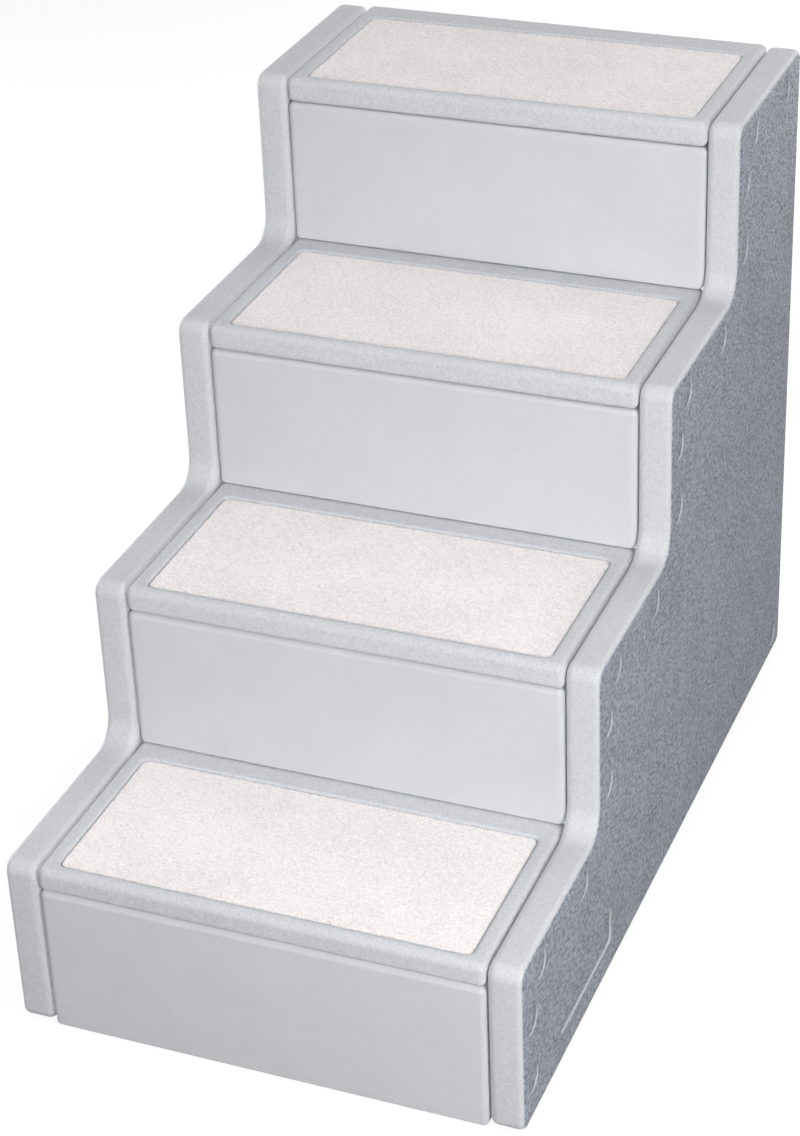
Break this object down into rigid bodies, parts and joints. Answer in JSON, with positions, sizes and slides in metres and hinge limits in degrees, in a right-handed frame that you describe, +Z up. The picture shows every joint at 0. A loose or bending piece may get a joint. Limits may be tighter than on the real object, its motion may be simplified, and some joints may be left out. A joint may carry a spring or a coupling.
{
  "type": "pet stairs",
  "caption": "Free-standing moulded plastic pet stairs with stepped side panels, snap-in treads and risers, and lift-off carpet mats.",
  "frame": {"origin": "centre of the footprint, on the floor under the rubber grips", "axes": "+X to the right as the stairs are climbed, +Y from the lowest step to the back, +Z up"},
  "size_m": [0.421, 0.73, 0.591],
  "materials": {
    "panel_plastic": "satin",
    "tread_plastic": "satin",
    "carpet_pile": "matte",
    "hook_strip_plastic": "matte",
    "floor_grip_rubber": "matte"
  },
  "bodies": {
    "stairs": {"left_side_panel": "panel_plastic", "right_side_panel": "panel_plastic", "rear_brace": "tread_plastic", "left_floor_grips": "floor_grip_rubber", "right_floor_grips": "floor_grip_rubber", "tread_1": "tread_plastic", "tread_2": "tread_plastic", "tread_3": "tread_plastic", "tread_4": "tread_plastic", "riser_1": "tread_plastic", "riser_2": "tread_plastic", "riser_3": "tread_plastic", "riser_4": "tread_plastic", "hook_strips_1": "hook_strip_plastic", "hook_strips_2": "hook_strip_plastic", "hook_strips_3": "hook_strip_plastic", "hook_strips_4": "hook_strip_plastic"},
    "mat_1": {"carpet_mat_1": "carpet_pile"},
    "mat_2": {"carpet_mat_2": "carpet_pile"},
    "mat_3": {"carpet_mat_3": "carpet_pile"},
    "mat_4": {"carpet_mat_4": "carpet_pile"}
  },
  "joints": [
    {"name": "mat_1_lift", "type": "slide", "parent": "stairs", "child": "mat_1", "axis": [0, 0, 1], "range_m": [0, 0.08]},
    {"name": "mat_2_lift", "type": "slide", "parent": "stairs", "child": "mat_2", "axis": [0, 0, 1], "range_m": [0, 0.08]},
    {"name": "mat_3_lift", "type": "slide", "parent": "stairs", "child": "mat_3", "axis": [0, 0, 1], "range_m": [0, 0.08]},
    {"name": "mat_4_lift", "type": "slide", "parent": "stairs", "child": "mat_4", "axis": [0, 0, 1], "range_m": [0, 0.08]}
  ]
}
